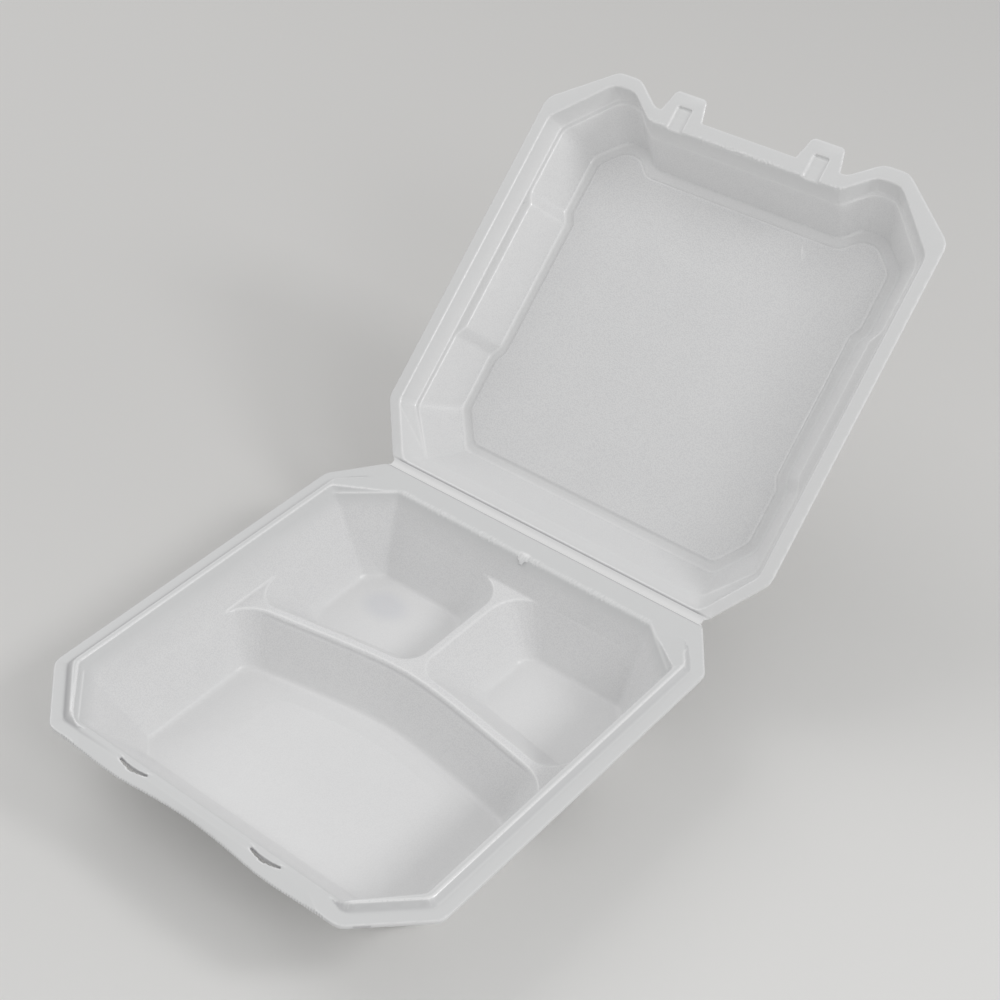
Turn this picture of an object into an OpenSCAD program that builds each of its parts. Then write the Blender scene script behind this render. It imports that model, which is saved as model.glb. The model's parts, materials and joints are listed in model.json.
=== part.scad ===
// Hinged-lid foam takeaway container with three compartments, shown standing open.
// Millimetres, z up, front edge towards -y, hinge line towards +y.
// The origin is the middle of the tray's underside.

/* [Sheet] */
// Thickness of the foam in the tray
tray_sheet = 2.6; // [2.2:0.1:2.8]
// Thickness of the foam in the lid
lid_sheet = 1.5; // [1.3:0.1:1.7]

/* [Rim] */
// Width of the rim from side to side
rim_w = 235; // [225:1:260]
// Length of the tray's rim from its front edge to the hinge line
rim_l = 233; // [225:1:260]
// Length of the hinge line
hinge_l = 194; // [186:1:200]
// Reach of the back corner cuts along the sides
back_cut = 27; // [22:1:32]
// Reach of the front corner cuts across the front
front_cut_x = 30; // [25:1:34]
// Reach of the front corner cuts along the sides
front_cut_y = 28; // [24:1:32]
// Radius of the rim's outer corners
rim_r = 7; // [4:1:9]
// Flat part of the flange outside the bead
flange_flat = 6.2; // [5:0.1:7]
// Width of the flange behind the back wall
back_flange = 15.5; // [13:0.5:18]
// Width of the flange in front of the front wall
front_flange = 10; // [9:0.5:12]
// Droop of the front flange's trimmed edge between the corner cuts
front_droop = 1; // [0.4:0.1:1.5]
// Outward wave of the front edge beside each lock slit
front_wave = 0.8; // [0.2:0.1:1.2]
// Set-back of the front edge between the slits
front_dip = 2.2; // [0.5:0.1:3]

/* [Bead] */
// Height of the raised bead above the flange
bead_h = 3.2; // [2:0.1:4]
// Run of the bead's outer ramp
bead_ramp = 3; // [2:0.1:4]
// Width of the bead's narrow top
bead_top = 2.8; // [2:0.1:4]

/* [Tray] */
// Depth of the floors below the rim
tray_depth = 43; // [38:1:50]
// Lean of the side walls
side_draft = 26; // [22:1:28]
// Lean of the back wall
back_draft = 22; // [18:1:25]
// Lean of the front wall
front_draft = 34; // [26:1:38]
// Rounding between walls and floors
floor_r = 3; // [2:0.5:5]
// Corner radius of the floors
corner_r = 9; // [8:0.5:10]
// Rise of the middle of the large floor
floor_rise = 2.4; // [0.5:0.1:3]
// Distance of the raised middle from the foot of the walls
floor_margin = 28; // [18:1:30]
// Width of the level strip the large compartment stands on
stand_w = 4; // [3:0.5:6]

/* [Dividers] */
// Depth of the divider crests below the rim
crest_depth = 17; // [14:1:20]
// Width of the divider crests before rounding
crest_w = 4; // [3.4:0.1:5]
// Rounding of the crest edges
crest_r = 1.2; // [0.8:0.1:1.8]
// Lean of the long divider's front face
divider_draft = 28; // [25:1:30]
// Lean of the long divider's back face
rear_draft = 42; // [34:1:44]
// Lean of the short divider's faces
short_draft = 34; // [28:1:36]
// Distance of the long divider from the hinge line at its middle
divider_back = 95; // [90:1:105]
// Bow of the long divider towards the hinge
divider_bow = 15; // [8:1:17]
// Corner radius where the dividers run into the walls
ledge_r = 16; // [12:1:18]
// Corner radius where the short divider meets the long one
junction_r = 11; // [9:1:14]

/* [Lock] */
// Distance of the slits and tabs from the middle
lock_x = 40; // [34:1:46]
// Length of each slit
slit_l = 20.5; // [16:0.5:24]
// Greatest width of each slit
slit_w = 1.8; // [1.4:0.1:2.2]
// Bulge of each slit towards the front edge
slit_sag = 2; // [1:0.1:2.4]
// Width of each tab where it leaves the rim
tab_base = 25; // [22:1:28]
// Width of each tab at its end
tab_tip = 18; // [14:1:20]
// Length of each tab
tab_l = 12; // [9:0.5:14]
// Width of the hook recess in each tab
hook_w = 8.5; // [6:0.5:10]
// Depth of the hook recess
hook_d = 1; // [0.6:0.1:1.2]

/* [Lid] */
// Angle between tray and lid as it stands
opening = 138; // [120:1:150]
// Depth of the lid's border below its rim
lid_depth = 28; // [24:1:34]
// Width of the lid's flange
lid_flange = 6.6; // [5.5:0.1:7.5]
// Depth of the channel that takes the tray's bead
channel_d = 9; // [7:0.5:10]
// Lean of the channel's outer side
channel_draft = 25; // [20:1:28]
// Width of the ledge at the channel's foot
ledge_w = 2; // [1.5:0.1:3]
// Inward jog of the middle stretch of the side walls
jog = 3.2; // [2:0.1:4.5]
// Place of the first jog along the lid as a share of its length
jog_a = 0.32; // [0.28:0.01:0.37]
// Place of the second jog along the lid as a share of its length
jog_b = 0.66; // [0.61:0.01:0.7]
// Length of the slope at each jog
jog_l = 6; // [4:0.5:8]
// Run of the side walls from ledge to border
lid_side_run = 12.5; // [10:0.5:16]
// Run of the hinge wall from rim to border
lid_hinge_run = 19.5; // [16:0.5:24]
// Run of the front wall from rim to border
lid_front_run = 15.5; // [13:0.5:19]
// Rounding between the lid's walls and the border
lid_r = 2; // [1.5:0.5:4]
// Width of the sunk border round the panel
border_w = 4.5; // [3:0.5:6]
// Rise of the panel inside the border
panel_rise = 1.2; // [0.6:0.1:1.4]
// Shortfall of the lid's front corners against the tray's
lid_short = 3; // [2:0.5:4]
// Set-back of the lid's front edge between the corners
lid_recess = 11; // [8:0.5:13]
// Distance from the lid's sides to the set-back front edge
recess_in = 61.5; // [57.5:0.5:63.5]
// Distance from the lid's sides to where the corners reach full length
ear_in = 46.5; // [43.5:0.5:49.5]

/* [Hinge] */
// Width of the strip between the two creases
strip_w = 4.8; // [4:0.2:6]
// Depth of the creases
crease_d = 0.9; // [0.5:0.1:1.2]
// Half the gap between tray and lid rims when shut
shut_gap = 0.3; // [0.2:0.05:0.6]

/* [Hidden] */
foam = [0.93, 0.93, 0.92];
eps = 0.01;
over = 6;
arc_n = 3;
rim_z = tray_depth + tray_sheet;
half_w = rim_w / 2;
half_l = rim_l / 2;
wall_x = half_w - flange_flat - bead_ramp - bead_top - bead_h * tan(side_draft);
wall_b = half_l - back_flange;
wall_f = -half_l + front_flange;
back_leg = (rim_w - hinge_l) / 2;
lid_l = rim_l - lid_short;
ear_x = half_w - ear_in;
recess_x = half_w - recess_in;

// One rounded corner of a flat outline, from the edge a-b into the edge b-c
function unit(v) = v / norm(v);
function spin(v, q) = [v[0] * cos(q) - v[1] * sin(q), v[0] * sin(q) + v[1] * cos(q)];
function turn(u, w) = atan2(u[0] * w[1] - u[1] * w[0], u * w);
function corner(a, b, c, r, n) =
    let (u = unit(b - a), w = unit(c - b), t = turn(u, w), s = sign(t))
    abs(t) < 1
    ? [for (k = [0:n]) b + u * (k / n - 0.5)]
    : let (side = [-u[1], u[0]] * s * r, mid = b - u * r * tan(abs(t) / 2) + side)
      [for (k = [0:n]) mid - spin(side, t * k / n)];

// Closed outline with rounded corners and extra points along its edges
function outline(p, r, subs, n = arc_n) =
    let (m = len(p), c = [for (i = [0:m - 1]) corner(p[(i + m - 1) % m], p[i], p[(i + 1) % m], r[i], n)])
    [for (i = [0:m - 1]) let (a = c[i], b = c[(i + 1) % m])
        each concat(a, [for (k = [1:1:subs[i] - 1]) a[n] + (b[0] - a[n]) * k / subs[i]])];

// Outline moved outwards by d along its edges
function away(a, b) = let (u = unit(b - a)) [u[1], -u[0]];
function grow(p, d) =
    let (m = len(p))
    [for (i = [0:m - 1])
        let (b = p[i], e = away(p[(i + m - 1) % m], b), f = away(b, p[(i + 1) % m]))
        b + (e + f) * d / (1 + e * f)];

function at(ring, z) = [for (q = ring) [q[0], q[1], z]];
function raised(ring, h) = [for (q = ring) [q[0], q[1], q[2] + h]];
function clamp01(v) = min(1, max(0, v));
function mix(a, b, k) = a + (b - a) * k;

// Solid through a stack of outlines listed from the bottom up
function middle(ring) = [for (q = ring) 1] * ring / len(ring);
module stack(rings) {
    n = len(rings[0]);
    m = len(rings);
    sides = [for (j = [0:m - 2]) for (i = [0:n - 1])
        let (a = j * n + i, b = j * n + (i + 1) % n)
        each [[a, a + n, b], [b, a + n, b + n]]];
    foot = [for (i = [0:n - 1]) [m * n, i, (i + 1) % n]];
    top = [for (i = [0:n - 1]) [m * n + 1, (m - 1) * n + (i + 1) % n, (m - 1) * n + i]];
    ends = [middle(rings[0]), middle(rings[m - 1])];
    polyhedron(points = concat([for (r = rings) each r], ends), faces = concat(foot, sides, top));
}

// Closed hoop through outlines listed round its section
module hoop(rings) {
    n = len(rings[0]);
    m = len(rings);
    sides = [for (j = [0:m - 1]) for (i = [0:n - 1])
        let (k = (i + 1) % n, up = ((j + 1) % m) * n, a = j * n + i, b = j * n + k)
        each [[a, up + i, b], [b, up + i, up + k]]];
    polyhedron(points = [for (r = rings) each r], faces = sides);
}

// Rectangle with its four corners cut, in the order front right, back right, back left, front left
function cut_box(x0, x1, y0, y1, fr, br, bl, fl) = [
    [x1, y0 + fr[1]],
    [x1, y1 - br[1]],
    [x1 - br[0], y1],
    [x0 + bl[0], y1],
    [x0, y1 - bl[1]],
    [x0, y0 + fl[1]],
    [x0 + fl[0], y0],
    [x1 - fr[0], y0]];

// Inset of a leaning wall at depth z, with its rounding into a floor at depth d
function lean(z, draft, d, r, top = 0) =
    let (zc = d - r, zf = zc + r * sin(draft))
    z <= zf
    ? (z - top) * tan(draft)
    : (zc - top) * tan(draft) + r / cos(draft) - sqrt(max(0, r * r - (z - zc) * (z - zc)));
function lean_out(z, draft, d, r, t, top = 0) = lean(z, draft, d + t, r + t, top) - t / cos(draft);

// Rounded lip of an edge at depth top, ahead of a leaning wall
function lip(z, draft, r, top) =
    let (s = z - top)
    s < 0
    ? -r * tan((90 - draft) / 2)
    : s >= r * (1 - sin(draft))
    ? s * tan(draft)
    : -r * tan((90 - draft) / 2) + sqrt(max(0, r * r - (r - s) * (r - s)));

// Corner cuts of the tray's wall at depth z: wide at the rim, closing to the floor's radius
cut_k = 0.6;
cut_grow = 0.586;
rim_back_cut = [26, 21];
rim_front_cut = [24, 24];
floor_cut = 8;
wall_r = 4;
foot_round = 5;
function wall_cut(rim_cut, z, t) =
    let (k = clamp01(z / tray_depth))
    [mix(rim_cut[0], floor_cut, k) + t * cut_grow, mix(rim_cut[1], floor_cut, k) + t * cut_grow];
function wall_round(z, t) = mix(wall_r, foot_round, clamp01(z / tray_depth)) + t;
function round_cut(r) = [cut_k * r, cut_k * r];

// Wall outline above the crests; sx, sb, sf are the insets of the sides, the back and the front
wall_subs = [1, 3, 1, 3, 1, 3, 20, 3];
function wall_ring(z, sx, sb, sf, t) =
    let (b = wall_cut(rim_back_cut, z, t), f = wall_cut(rim_front_cut, z, t), r = wall_round(z, t))
    at(outline(cut_box(-wall_x + sx, wall_x - sx, wall_f + sf, wall_b - sb, f, b, b, f),
               [r, r, r, r, r, r, r, r], wall_subs), rim_z - z);
lip_r = 2;
function inner_ring(z) =
    wall_ring(z, z * tan(side_draft), lip(z, back_draft, lip_r, 0), lip(z, front_draft, lip_r, 0), 0);
function skin(z, draft) = z * tan(draft) - tray_sheet / cos(draft);
function outer_ring(z) =
    wall_ring(z, skin(z, side_draft), skin(z, back_draft), skin(z, front_draft), tray_sheet);

// Rim outline with its waved and drooping front edge
rim_poly = cut_box(-half_w, half_w, -half_l, half_l - shut_gap, [front_cut_x, front_cut_y],
                   [back_leg, back_cut], [back_leg, back_cut], [front_cut_x, front_cut_y]);
rim_rs = [rim_r, rim_r, rim_r, rim_r, rim_r, rim_r, rim_r, rim_r];
function bell(x, w) = abs(x) >= w ? 0 : (1 + cos(180 * x / w)) / 2;
function at_front(q) = q[1] < -half_l + eps;
wave_x = lock_x + 8;
wave_l = 24;
dip_l = 44;
droop_x = half_w - front_cut_x - 13;
droop_l = 6;
function wave(q) =
    at_front(q)
    ? front_wave * bell(abs(q[0]) - wave_x, wave_l) - front_dip * bell(q[0], dip_l)
    : 0;
function droop(q) = at_front(q) ? front_droop * clamp01((droop_x - abs(q[0])) / droop_l) : 0;
function rim_ring(z) =
    [for (q = outline(rim_poly, rim_rs, wall_subs)) [q[0], q[1] - wave(q), rim_z - z - droop(q)]];
foot_lap = 0.8;
function foot_ring(z) =
    at(outline(grow(rim_poly, foot_lap - flange_flat), rim_rs, wall_subs), rim_z - z);

// Height of the bead round the rim: full on the sides and front cuts, dying out at back and front
bead_back = 13;
bead_fade = 18;
bead_in = 4;
bead_foot = -0.4;
bead_low = -1.2;
bead_edge = 0.02;
bead_front = front_cut_y * 0.6;
bead_end_x = half_w - front_cut_x - 16;
bead_end_l = 14;
bead_line = flange_flat + bead_ramp;
function bead_k(q) =
    clamp01((half_l - bead_back - q[1]) / bead_fade)
    * (q[1] < bead_front - half_l ? clamp01((abs(q[0]) - bead_end_x) / bead_end_l) : 1);
bead_ks = [for (q = outline(grow(rim_poly, -bead_line), rim_rs, wall_subs)) bead_k(q)];
function beaded(ring, h, low) =
    [for (i = [0:len(ring) - 1]) [ring[i][0], ring[i][1], rim_z + (h > 0 ? mix(low, h, bead_ks[i]) : h)]];
function bead_ring(d, h) = beaded(outline(grow(rim_poly, -d), rim_rs, wall_subs), h, bead_foot);
function bead_end(h) = beaded(wall_ring(0, bead_in, bead_in, bead_in, 0), h, bead_foot);
module bead() {
    hoop([bead_ring(flange_flat, bead_low), bead_ring(flange_flat, bead_edge), bead_ring(bead_line, bead_h),
          bead_end(bead_h), bead_end(bead_low)]);
}

// Hollow under the bead, a sheet's thickness inside it
hollow_low = -1.4;
hollow_h = bead_h * 0.8;
hollow_foot = -1;
hollow_mid = bead_line + bead_top / 2;
hollow_ds = [-3.4, -0.5, 0.1, 0.4];
hollow_hs = [hollow_low, hollow_h, hollow_h, hollow_low];
function hollow_ring(d, h) =
    raised(beaded(outline(grow(rim_poly, -d), rim_rs, wall_subs), h, hollow_foot), -tray_sheet);
module bead_hollow() {
    hoop([for (i = [0:len(hollow_ds) - 1]) hollow_ring(hollow_mid + hollow_ds[i], hollow_hs[i])]);
}

// Bow of the long divider, nearly straight each side of a rounded middle, fading out away from it
bend_r = 22;
function bend(x) = sqrt(x * x + bend_r * bend_r) - bend_r;
function bowed(ring, y_far, y_near) =
    let (y_mid = (y_far + y_near) / 2)
    [for (q = ring)
        let (k = clamp01((q[1] - y_mid) / (y_near - y_mid)))
        [q[0], q[1] - divider_bow * bend(q[0]) / bend(wall_x) * k, q[2]]];

// Compartment outlines at depth z: sw, se are the insets at side and end walls, sd at the dividers
divider_y = half_l - divider_back;
function below_crest(z) = clamp01((z - crest_depth) / (tray_depth - crest_depth));
function ledge_round(z) = mix(ledge_r, corner_r, below_crest(z));
function junction_round(z) = mix(junction_r, corner_r * 0.95, below_crest(z));
big_subs = [1, 1, 14, 1, 1, 1, 1, 1];
function big_ring(z, sw, se, sd, t) =
    let (f = wall_cut(rim_front_cut, z, t), w = wall_round(z, t), r = ledge_round(z) + t,
         b = round_cut(ledge_round(z)) + [t, t] * cut_grow,
         y0 = wall_f + se, y1 = divider_y - crest_w / 2 - sd)
    bowed(at(outline(cut_box(-wall_x + sw, wall_x - sw, y0, y1, f, b, b, f),
                     [w, r, r, r, r, w, w, w], big_subs), rim_z - z), y0, y1);
small_subs = [1, 1, 1, 1, 1, 1, 6, 1];
function small_ring(z, sw, se, sx, sy, t) =
    let (a = wall_cut(rim_back_cut, z, t), w = wall_round(z, t), r = ledge_round(z) + t,
         j = junction_round(z) + t, b = round_cut(ledge_round(z)) + [t, t] * cut_grow,
         c = round_cut(junction_round(z)) + [t, t] * cut_grow,
         y0 = divider_y + crest_w / 2 + sy, y1 = wall_b - se)
    bowed(at(outline(cut_box(crest_w / 2 + sx, wall_x - sw, y0, y1, b, a, b, c),
                     [r, w, w, r, r, j, j, r], small_subs), rim_z - z), y1, y0);

// Depths of the outlines of a compartment, inside and outside, from the bottom up
floor_fan = [90, 68, 46, 28];
lip_fan = [62, 42, 21, 0];
in_zs = concat([for (q = floor_fan) tray_depth - floor_r + floor_r * sin(q)],
               [for (q = lip_fan) crest_depth + crest_r * (1 - cos(q))]);
out_zs = concat([for (q = floor_fan) tray_depth - floor_r + (floor_r + tray_sheet) * sin(q)],
                [crest_depth + tray_sheet]);
wall_step = 0.05;
function in_wall(z, draft) = lean(z, draft, tray_depth, floor_r) + wall_step;
function in_div(z, draft) =
    z < crest_depth + crest_r
    ? lip(z, draft, crest_r, crest_depth)
    : lean(z, draft, tray_depth, floor_r, crest_depth);
function out_wall(z, draft) = lean_out(z, draft, tray_depth, floor_r, tray_sheet);
function out_div(z, draft) = lean_out(z, draft, tray_depth, floor_r, tray_sheet, crest_depth);
rear_margin = 0.4;
mouth_in = 0.8;
mouth_up = 1;
root_in = 0.5;
mouth_zs = [crest_depth, 1.3, 0.7, 0.25, 0, -over];
function big_in(z, m = 0) =
    big_ring(z, in_wall(z, side_draft) + m, in_wall(z, front_draft) + m,
             in_div(z, divider_draft) + m * rear_margin, 0);
function big_out(z, m = 0) =
    big_ring(z, out_wall(z, side_draft) + m, out_wall(z, front_draft) + m,
             out_div(z, divider_draft) + m * rear_margin, tray_sheet);
function small_in(z, m = 0) =
    small_ring(z, in_wall(z, side_draft) + m, in_wall(z, back_draft) + m, in_div(z, short_draft) + m,
               in_div(z, rear_draft) + m, 0);
function small_out(z, m = 0) =
    small_ring(z, out_wall(z, side_draft) + m, out_wall(z, back_draft) + m, out_div(z, short_draft) + m,
               out_div(z, rear_draft) + m, tray_sheet);

module big_space() {
    stack(concat([raised(big_in(tray_depth, floor_margin), floor_rise), big_in(tray_depth, stand_w)],
                 [for (z = in_zs) big_in(z)],
                 [raised(big_in(crest_depth, mouth_in), mouth_up)]));
}

module big_tub() {
    low = tray_depth + tray_sheet;
    stack(concat([raised(big_out(low, floor_margin), floor_rise), big_out(low, stand_w)],
                 [for (z = out_zs) big_out(z)],
                 [raised(big_out(crest_depth + tray_sheet, root_in), tray_sheet / 2)]));
}

module small_space() {
    stack(concat([for (z = in_zs) small_in(z)], [raised(small_in(crest_depth, mouth_in), mouth_up)]));
}

module small_tub() {
    stack(concat([for (z = out_zs) small_out(z)],
                 [raised(small_out(crest_depth + tray_sheet, root_in), tray_sheet / 2)]));
}

// Curved slit through the front flange, bulging away from the front wall
slit_n = 16;
slit_back = 2.2;
function slit_y(k) = -slit_sag * (1 - k * k);
function slit_half(k) = slit_w * (0.5 - 0.3 * k * k);
module slit() {
    ks = [for (i = [0:slit_n]) 2 * i / slit_n - 1];
    near = [for (k = ks) [k * slit_l / 2, slit_y(k) + slit_half(k)]];
    far = [for (i = [slit_n:-1:0]) [ks[i] * slit_l / 2, slit_y(ks[i]) - slit_half(ks[i])]];
    translate([0, wall_f - slit_back, rim_z - over])
        linear_extrude(2 * over)
            polygon(concat(near, far));
}

// V-shaped crease across the sheet, along x
module crease(len) {
    rotate([45, 0, 0])
        cube([len, crease_d * sqrt(2), crease_d * sqrt(2)], center = true);
}

module tray() {
    color(foam)
        difference() {
            union() {
                stack([outer_ring(crest_depth + tray_sheet), outer_ring(tray_sheet), rim_ring(tray_sheet),
                       rim_ring(0), foot_ring(0)]);
                big_tub();
                small_tub();
                mirror([1, 0, 0])
                    small_tub();
                bead();
            }
            bead_hollow();
            stack([for (z = mouth_zs) inner_ring(z)]);
            big_space();
            small_space();
            mirror([1, 0, 0])
                small_space();
            for (s = [-1, 1])
                translate([s * lock_x, 0, 0])
                    slit();
            translate([0, half_l - strip_w / 2, rim_z])
                crease(rim_w);
        }
}

// Right half of a lid outline from the hinge to the front; the left half mirrors it
function whole(half) = concat(half, [for (i = [len(half) - 1:-1:0]) [-half[i][0], half[i][1]]]);
function lid_half(hx, hv, cx, cv, mx, fv, ex, ev, ix, rx, rv) = [
    [hx, hv],
    [cx, cv],
    [cx, jog_a * lid_l],
    [mx, jog_a * lid_l + jog_l],
    [mx, jog_b * lid_l],
    [cx, jog_b * lid_l + jog_l],
    [cx, fv],
    [ex, ev],
    [ix, ev],
    [rx, rv]];
lid_x = half_w;
lid_fv = lid_l - front_cut_y + lid_short;
lid_ex = lid_x - front_cut_x - 3;
lid_rim = whole(lid_half(hinge_l / 2, shut_gap, lid_x, back_cut + 2, lid_x, lid_fv, lid_ex, lid_l, ear_x,
                         recess_x, lid_l - lid_recess));

// Inner outlines: b at the rim, c and d at the ledge, e at the border
lid_bx = lid_x - lid_flange;
lid_bv = strip_w / 2 + crease_d + 0.2;
front_lip = 7.6;
lid_brv = lid_l - lid_recess - front_lip;
lid_b = whole(lid_half(hinge_l / 2 - 5, lid_bv, lid_bx, back_cut + 3, lid_bx, lid_fv - 9, lid_ex - 0.5,
                       lid_l - 7, ear_x, recess_x, lid_brv));
ch = channel_d * tan(channel_draft);
deep = channel_d / lid_depth;
lid_cx = lid_bx - ch;
lid_cv = lid_bv + lid_hinge_run * deep;
lid_crv = lid_brv - lid_front_run * deep;
lid_c = whole(lid_half(hinge_l / 2 - 11, lid_cv, lid_cx, back_cut + 4.5, lid_cx, lid_fv - 10, lid_ex - 2.5,
                       lid_l - 7 - ch * 0.8, ear_x - 1, recess_x, lid_crv));
lid_dx = lid_cx - ledge_w;
end_ledge = 0.2;
lid_d = whole(lid_half(hinge_l / 2 - 11.5, lid_cv + end_ledge, lid_dx, back_cut + 5, lid_dx - jog,
                       lid_fv - 11.5, lid_ex - 3.5, lid_l - 7 - ch * 0.8 - ledge_w, ear_x - 1.5, recess_x,
                       lid_crv - end_ledge));
lid_sx = lid_dx - lid_side_run;
lid_e = whole(lid_half(hinge_l / 2 - 19, lid_bv + lid_hinge_run, lid_sx, back_cut + 15, lid_sx - jog,
                       lid_fv - 14.5, lid_ex - 7, lid_brv - lid_front_run + 8, ear_x - 8, recess_x,
                       lid_brv - lid_front_run));
lid_subs = [for (i = [0:19]) 1];
lid_rs = [6, 7, 4, 4, 4, 4, 7, 9, 10, 8, 8, 10, 9, 7, 4, 4, 4, 4, 7, 6];
function lid_ring(p, z, s = 1) = at(outline(p, lid_rs * s, lid_subs, 2), -z);
function between(p, q, k) = [for (i = [0:len(p) - 1]) p[i] + (q[i] - p[i]) * k];
lid_draft = 36;
function lid_wall(z, r, bottom) =
    let (k = (z - channel_d) / (lid_depth - channel_d), zc = bottom - r,
         s = z <= zc + r * sin(lid_draft) ? 0
             : (zc - z) * tan(lid_draft) + r / cos(lid_draft) - sqrt(max(0, r * r - (z - zc) * (z - zc))))
    grow(between(lid_d, lid_e, k), -s);
lid_fan = [90, 66, 42];
lid_zs = [for (q = lid_fan) lid_depth - lid_r + lid_r * sin(q)];

module lid_space() {
    stack(concat(
        [lid_ring(grow(lid_e, -border_w - 1), lid_depth - panel_rise),
         lid_ring(grow(lid_e, -border_w), lid_depth)],
        [for (z = lid_zs) lid_ring(lid_wall(z, lid_r, lid_depth), z)],
        [lid_ring(lid_d, channel_d, 0.9),
         lid_ring(lid_c, channel_d, 0.9),
         lid_ring(lid_b, 0),
         lid_ring(lid_b, -over)]));
}

module lid_shell() {
    t = lid_sheet;
    zs = [for (q = lid_fan) lid_depth - lid_r + (lid_r + t) * sin(q)];
    stack(concat(
        [lid_ring(grow(lid_e, -border_w - 1 - t * 0.5), lid_depth - panel_rise + t),
         lid_ring(grow(lid_e, -border_w - t * 0.5), lid_depth + t)],
        [for (z = zs) lid_ring(grow(lid_wall(z, lid_r + t, lid_depth + t), t / cos(lid_draft)), z)],
        [lid_ring(grow(lid_d, t * 0.5), channel_d + t),
         lid_ring(grow(lid_c, t * 0.63), channel_d + t),
         lid_ring(grow(lid_b, t * 0.63), t),
         lid_ring(lid_rim, t),
         lid_ring(lid_rim, 0)]));
}

// Lock tab in the plane of the lid's rim
tab_v = lid_l - lid_recess;
tab_root = 6;
tab_r = 2.5;
module tab() {
    translate([0, 0, -lid_sheet])
        linear_extrude(lid_sheet)
            offset(tab_r, $fn = 24)
                offset(-tab_r)
                    polygon([[-tab_base / 2, tab_v - tab_root], [tab_base / 2, tab_v - tab_root],
                             [tab_base / 2, tab_v], [tab_tip / 2, tab_v + tab_l],
                             [-tab_tip / 2, tab_v + tab_l], [-tab_base / 2, tab_v]]);
}

// Recess behind the hook of a tab, ending in a slot through the sheet
hook_l = 12.4;
hook_slot = 1.2;
hook_v = tab_v - front_lip - lid_sheet;
module hook() {
    translate([-hook_w / 2, hook_v, -hook_d])
        cube([hook_w, hook_l + lid_sheet, over]);
    translate([-hook_w / 2, hook_v + hook_l + lid_sheet - hook_slot, -over])
        cube([hook_w, hook_slot, 2 * over]);
}

module lid_flat() {
    difference() {
        union() {
            lid_shell();
            for (s = [-1, 1])
                translate([s * lock_x, 0, 0])
                    tab();
        }
        lid_space();
        for (s = [-1, 1])
            translate([s * lock_x, 0, 0])
                hook();
        translate([0, strip_w / 2, 0])
            crease(rim_w);
    }
}

module lid() {
    color(foam)
        translate([0, half_l, rim_z + shut_gap])
            rotate([180 - opening, 0, 0])
                translate([0, 0, -shut_gap])
                    lid_flat();
}

tray();
lid();
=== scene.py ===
"""Looks of the hinged-lid foam container: moulded shells, hinge strip, foam finish and studio."""

import json
import math

import bmesh
import bpy
import numpy as np
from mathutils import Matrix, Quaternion, Vector, noise


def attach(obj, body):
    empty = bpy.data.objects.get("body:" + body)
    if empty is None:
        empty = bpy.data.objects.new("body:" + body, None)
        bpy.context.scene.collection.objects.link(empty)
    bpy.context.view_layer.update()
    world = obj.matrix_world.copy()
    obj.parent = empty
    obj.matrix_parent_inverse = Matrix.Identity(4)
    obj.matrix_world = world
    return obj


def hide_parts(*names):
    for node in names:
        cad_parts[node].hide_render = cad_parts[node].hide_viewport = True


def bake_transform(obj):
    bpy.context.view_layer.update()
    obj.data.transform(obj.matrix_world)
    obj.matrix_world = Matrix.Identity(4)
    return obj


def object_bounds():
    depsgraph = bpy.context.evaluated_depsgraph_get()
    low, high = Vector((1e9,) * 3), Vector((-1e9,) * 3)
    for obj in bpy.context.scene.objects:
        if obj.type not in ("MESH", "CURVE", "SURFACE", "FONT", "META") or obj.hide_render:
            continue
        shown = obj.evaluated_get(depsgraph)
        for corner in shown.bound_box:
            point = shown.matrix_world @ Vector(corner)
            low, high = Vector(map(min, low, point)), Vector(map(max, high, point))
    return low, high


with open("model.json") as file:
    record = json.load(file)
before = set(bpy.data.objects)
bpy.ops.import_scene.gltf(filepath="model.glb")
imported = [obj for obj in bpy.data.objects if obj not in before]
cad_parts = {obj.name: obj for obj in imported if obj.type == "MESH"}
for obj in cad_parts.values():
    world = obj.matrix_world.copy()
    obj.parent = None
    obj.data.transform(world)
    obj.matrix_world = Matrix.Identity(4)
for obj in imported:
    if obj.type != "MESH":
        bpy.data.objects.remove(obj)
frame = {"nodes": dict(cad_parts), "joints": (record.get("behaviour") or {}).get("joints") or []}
CAD_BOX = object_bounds()

bl_info = {
    "name": "Foam Container",
    "version": (1, 0, 0),
    "blender": (4, 5, 0),
    "location": "View3D > Sidebar > Container",
    "description": "Moulded foam shells with a folded hinge strip, on a pale studio floor",
    "category": "Object",
}

MM = 0.001

# The hinge, the distance of each rim from its axis, and the way that the open lid stands
HINGE_POS = Vector(frame["joints"][0]["pos_m"])
RIM_GAP = 0.3 * MM
TRAY_RIM = HINGE_POS.z - RIM_GAP
LID_TILT = math.radians(42)
LID_ALONG = Vector((0, math.cos(LID_TILT), math.sin(LID_TILT)))
LID_IN = Vector((0, math.sin(LID_TILT), -math.cos(LID_TILT)))

# Marks that the finish reads at each vertex
GRAIN = "grain"
RIDGE = "ridge"
# Darker tone of the thin pressed flanges, and painted shade at the tops of the walls, on the floors and the
# lid's panel and by the hinge
THIN_AND_SHADE = "thin"
# Painted shade: darkening in creases, slits and hollows, where shade falls
PAINTED_SHADE = "painted_shade"
FOAM_SKIN = "foam_skin"

# Waves in a metre of the two noises in the finish
GRIT_WAVES = 1500
MOTTLE_WAVES = 45

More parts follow.
